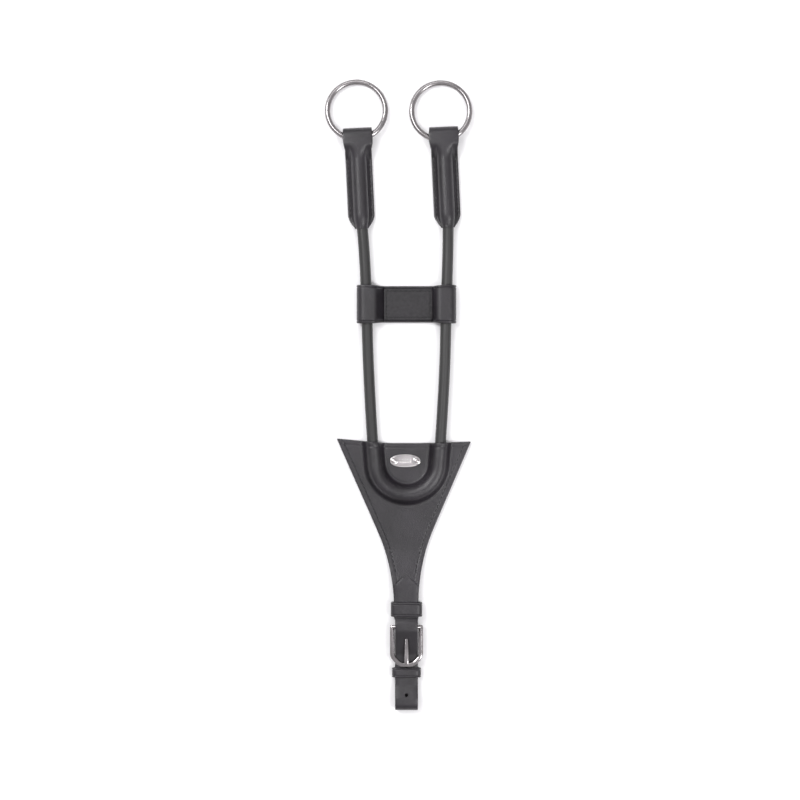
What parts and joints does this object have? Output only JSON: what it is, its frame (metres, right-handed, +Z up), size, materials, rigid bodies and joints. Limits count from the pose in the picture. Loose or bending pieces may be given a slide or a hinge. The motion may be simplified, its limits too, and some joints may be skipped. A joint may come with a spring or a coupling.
{
  "type": "running martingale fork attachment",
  "caption": "Running martingale fork: rolled leather cord with rein rings, a sliding loop, a stitched plate and a buckled billet strap.",
  "frame": {"origin": "on the plate's back, in the middle of the bend that the cord makes inside the plate", "axes": "+X to the right and +Y towards the rings as the fork lies face up, +Z up off the table"},
  "size_m": [0.1072, 0.4577, 0.0126],
  "materials": {
    "black_leather": "satin, fine grain",
    "rolled_leather": "satin, smooth, rolled",
    "lining_leather": "matt flesh side",
    "core_cord": "twisted fibre filler",
    "black_thread": "waxed thread",
    "steel": "polished and lightly worn",
    "badge_metal": "polished"
  },
  "bodies": {
    "fork": {"rolled_cord": "rolled_leather", "cord_core": "core_cord", "left_tab": "black_leather", "left_tab_thread": "black_thread", "right_tab": "black_leather", "right_tab_thread": "black_thread", "plate_back": "lining_leather", "plate_front": "black_leather", "plate_thread": "black_thread", "badge_plate": "badge_metal", "badge_rivets": "badge_metal", "billet_strap": "black_leather"},
    "left_ring": {"left_ring": "steel"},
    "right_ring": {"right_ring": "steel"},
    "slider": {"slider_band": "black_leather", "slider_patch": "black_leather", "slider_thread": "black_thread"},
    "buckle_frame": {"buckle_frame": "steel"},
    "buckle_tongue": {"buckle_tongue": "steel"},
    "upper_keeper": {"upper_keeper": "black_leather"},
    "lower_keeper": {"lower_keeper": "black_leather"}
  },
  "joints": [
    {"name": "left_ring_swing", "type": "hinge", "parent": "fork", "child": "left_ring", "pos_m": [-0.03539, 0.2359, 0.0063], "axis": [0.9989, 0.0462, 0], "range_deg": [0, 170]},
    {"name": "right_ring_swing", "type": "hinge", "parent": "fork", "child": "right_ring", "pos_m": [0.02704, 0.236, 0.0063], "axis": [0.9989, 0.0462, 0], "range_deg": [0, 170]},
    {"name": "slider_slide", "type": "slide", "parent": "fork", "child": "slider", "axis": [0, 1, 0], "range_m": [-0.07, 0.018]},
    {"name": "buckle_frame_hinge", "type": "hinge", "parent": "fork", "child": "buckle_frame", "pos_m": [0, -0.1192, 0.0064], "axis": [-1, 0, 0], "range_deg": [0, 5]},
    {"name": "buckle_tongue_hinge", "type": "hinge", "parent": "buckle_frame", "child": "buckle_tongue", "pos_m": [0, -0.1192, 0.0064], "axis": [-1, 0, 0], "range_deg": [0, 4]},
    {"name": "upper_keeper_slide", "type": "slide", "parent": "fork", "child": "upper_keeper", "axis": [0, 1, 0], "range_m": [0, 0.008]},
    {"name": "lower_keeper_slide", "type": "slide", "parent": "fork", "child": "lower_keeper", "axis": [0, 1, 0], "range_m": [-0.004, 0]}
  ]
}
